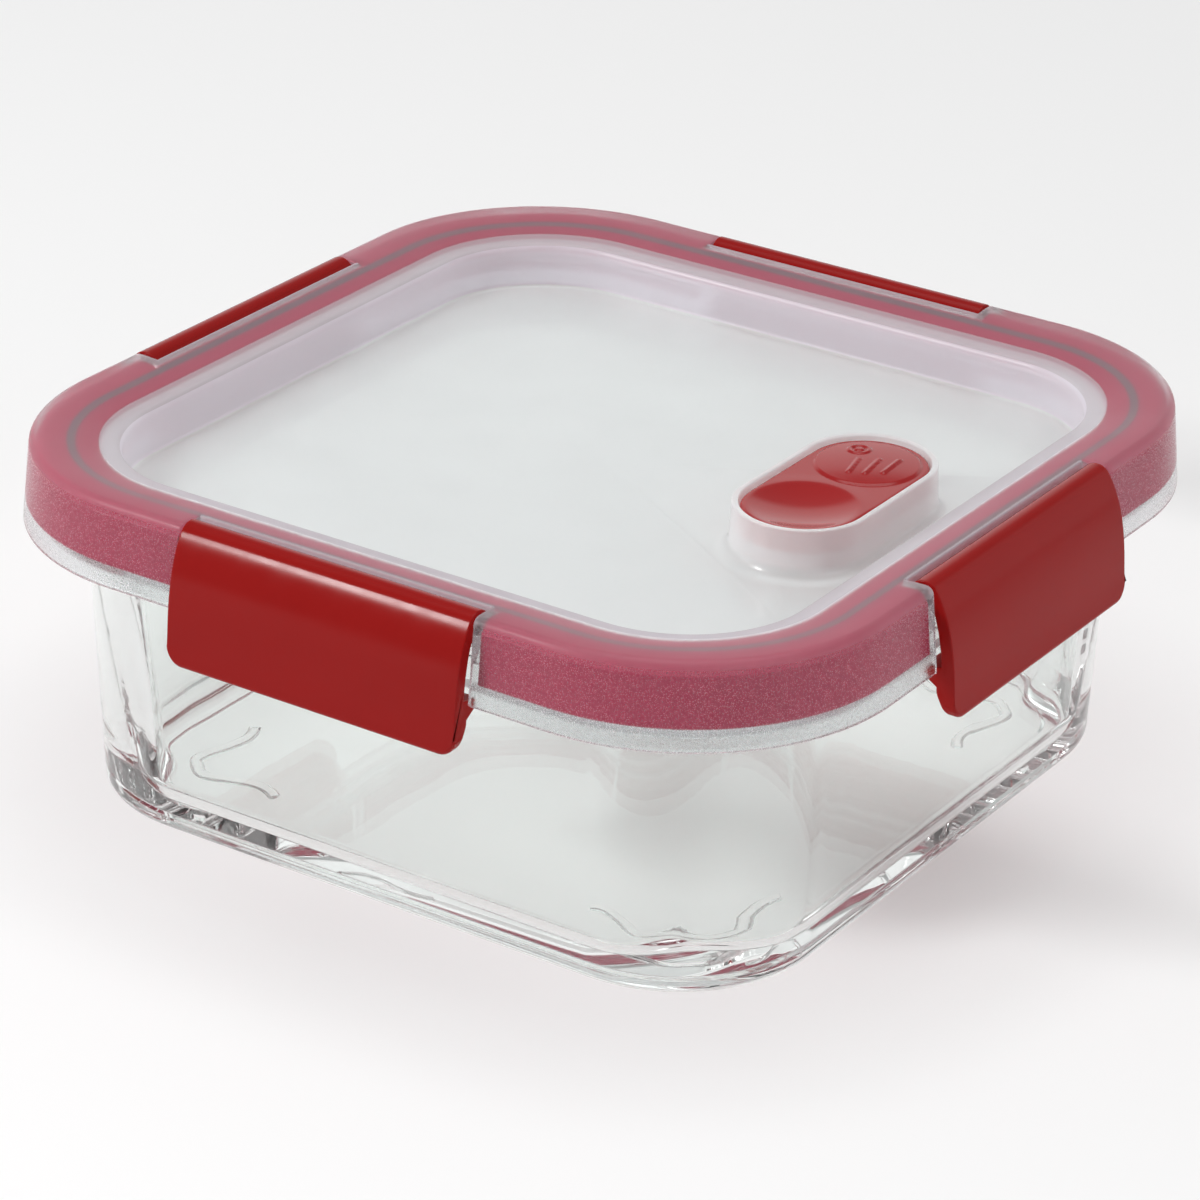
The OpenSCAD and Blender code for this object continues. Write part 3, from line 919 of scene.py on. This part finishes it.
silicone = rubber_material("stopper_silicone", (0.8, 0.8, 0.79), 0.5)
plug_low, plug_high = 1000 * np.array(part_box("vent_plug"))
plug_r = (plug_high[0] - plug_low[0]) / 2
under = rocker_z - rocker_t
stopper = rounded([
    (0, plug_low[2], 0),
    (plug_r, plug_low[2], 0.5),
    (plug_r, plug_low[2] + 1.6, 0.4),
    (plug_r - 1.1, plug_low[2] + 2.2, 0.4),
    (plug_r - 1.1, under - 0.05, 0.3),
    (1.55, under - 0.05, 0),
    (1.55, plug_high[2], 0.2),
    (0, plug_high[2], 0),
], steps=4, hold=0.05)
a = np.linspace(0, 2 * np.pi, 48, endpoint=False)
turned = np.zeros((len(stopper), len(a), 3))
turned[:, :, 0] = vent_x + stopper[:, :1] * np.cos(a)
turned[:, :, 1] = knob_y + stopper[:, :1] * np.sin(a)
turned[:, :, 2] = stopper[:, 1:]
plug = new_piece("vent_stopper", [grid(turned, wrap=True)], [silicone])
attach(plug, "vent")
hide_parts("vent_plug")


# ---------------------------------------------------------------- Studio
# A pale matt table, a small key lamp at the front left and a broad weak one at the right, in a white
# room that is brightest overhead, half as bright low behind the container, and dim elsewhere.

table_mesh = bpy.data.meshes.new("table_top")
reach_m = 6.0
table_z = -0.0002             # a hair below the standing ring, so that the two faces don't coincide
table_signs = ((-1, -1), (1, -1), (1, 1), (-1, 1))
table_corners = [(reach_m * x, reach_m * y, table_z) for x, y in table_signs]
table_mesh.from_pydata(table_corners, [], [(0, 1, 2, 3)])
table_finish = bpy.data.materials.new("table_paper")
table_finish.use_nodes = True
paper = table_finish.node_tree.nodes["Principled BSDF"]
paper.inputs["Base Color"].default_value = (0.93, 0.93, 0.93, 1)
paper.inputs["Roughness"].default_value = 0.9
paper.inputs["Specular IOR Level"].default_value = 0.1
table_mesh.materials.append(table_finish)
table_top = bpy.data.objects.new("table_top", table_mesh)
bpy.context.scene.collection.objects.link(table_top)


def soft_light(name, place, aim, size, power):
    """A square area light, in metres and watts, that faces a place."""
    lamp = bpy.data.lights.new(name, "AREA")
    lamp.shape = "SQUARE"
    lamp.size = size
    lamp.energy = power
    holder = bpy.data.objects.new(name, lamp)
    place, aim = np.array(place, float), np.array(aim, float)
    back = (place - aim) / np.linalg.norm(place - aim)
    across = np.cross([0, 0, 1], back) if abs(back[2]) < 0.99 else np.array([1.0, 0, 0])
    across /= np.linalg.norm(across)
    holder.matrix_world = placed(across, np.cross(back, across), back, place)
    bpy.context.scene.collection.objects.link(holder)


def placed(right, up, back, place):
    """The matrix of something whose own axes are right, up and back, at a place."""
    matrix = np.eye(4)
    matrix[:3, 0], matrix[:3, 1], matrix[:3, 2], matrix[:3, 3] = right, up, back, place
    return Matrix(matrix.tolist())


middle = (0, 0, 0.04)
soft_light("key", (-0.55, -0.79, 0.57), middle, 0.14, 4.6)
soft_light("right_side", (1.0, -0.35, 0.5), middle, 0.6, 2.4)

sky = bpy.data.worlds.new("studio")
sky.use_nodes = True
nodes, links = sky.node_tree.nodes, sky.node_tree.links
nodes["Background"].inputs["Color"].default_value = (1, 1, 1, 1)
direction = nodes.new("ShaderNodeTexCoord")
split = nodes.new("ShaderNodeSeparateXYZ")
behind = nodes.new("ShaderNodeVectorMath")
behind.operation = "DOT_PRODUCT"
behind.inputs[1].default_value = (-0.55, 0.83, 0)
from_front = nodes.new("ShaderNodeMapRange")
from_front.inputs["From Min"].default_value = -0.7
from_front.inputs["From Max"].default_value = 0.2
from_front.inputs["To Min"].default_value = 0.1
from_front.inputs["To Max"].default_value = 2.6
to_zenith = nodes.new("ShaderNodeValToRGB")
stops = to_zenith.color_ramp.elements
stops[0].position, stops[0].color = 0.47, (0.4, 0.4, 0.4, 1)
stops[1].position, stops[1].color = 0.9, (1, 1, 1, 1)
for position, grey in ((0.55, 0.15), (0.84, 0.15)):
    stops.new(position).color = (grey, grey, grey, 1)
dimmed = nodes.new("ShaderNodeMath")
dimmed.operation = "MULTIPLY"
links.new(direction.outputs["Generated"], split.inputs["Vector"])
links.new(direction.outputs["Generated"], behind.inputs[0])
links.new(behind.outputs["Value"], from_front.inputs["Value"])
links.new(split.outputs["Z"], to_zenith.inputs["Fac"])
links.new(from_front.outputs["Result"], dimmed.inputs[0])
links.new(to_zenith.outputs["Color"], dimmed.inputs[1])
links.new(dimmed.outputs["Value"], nodes["Background"].inputs["Strength"])
bpy.context.scene.world = sky
bpy.context.scene.view_settings.view_transform = "Standard"

# Light crosses the glass many times before it leaves the thick base, so the paths are long.
paths = bpy.context.scene.cycles
paths.max_bounces = 48
paths.glossy_bounces = 40
paths.transmission_bounces = 24

azimuth, elevation, roll = np.radians([33.53, 25.59, 1.19])
distance = 782
aim_right, aim_up = -1.77, -32.9        # where the camera aims, from the middle of the lid's rim
flat_way = np.array([np.sin(azimuth), -np.cos(azimuth), 0])
back = flat_way * np.cos(elevation) + np.array([0, 0, np.sin(elevation)])
level = np.array([np.cos(azimuth), np.sin(azimuth), 0])
upright = np.cross(back, level)
right = np.cos(roll) * level + np.sin(roll) * upright
up = -np.sin(roll) * level + np.cos(roll) * upright
aim = np.array([0, 0, rim_z]) + aim_right * right + aim_up * up
camera = bpy.data.objects.new("camera", bpy.data.cameras.new("camera"))
camera.data.lens = 137.04
camera.data.sensor_width = 36
camera.data.clip_start = 0.05
camera.matrix_world = placed(right, up, back, (aim + distance * back) / 1000)
bpy.context.scene.collection.objects.link(camera)
bpy.context.scene.camera = camera
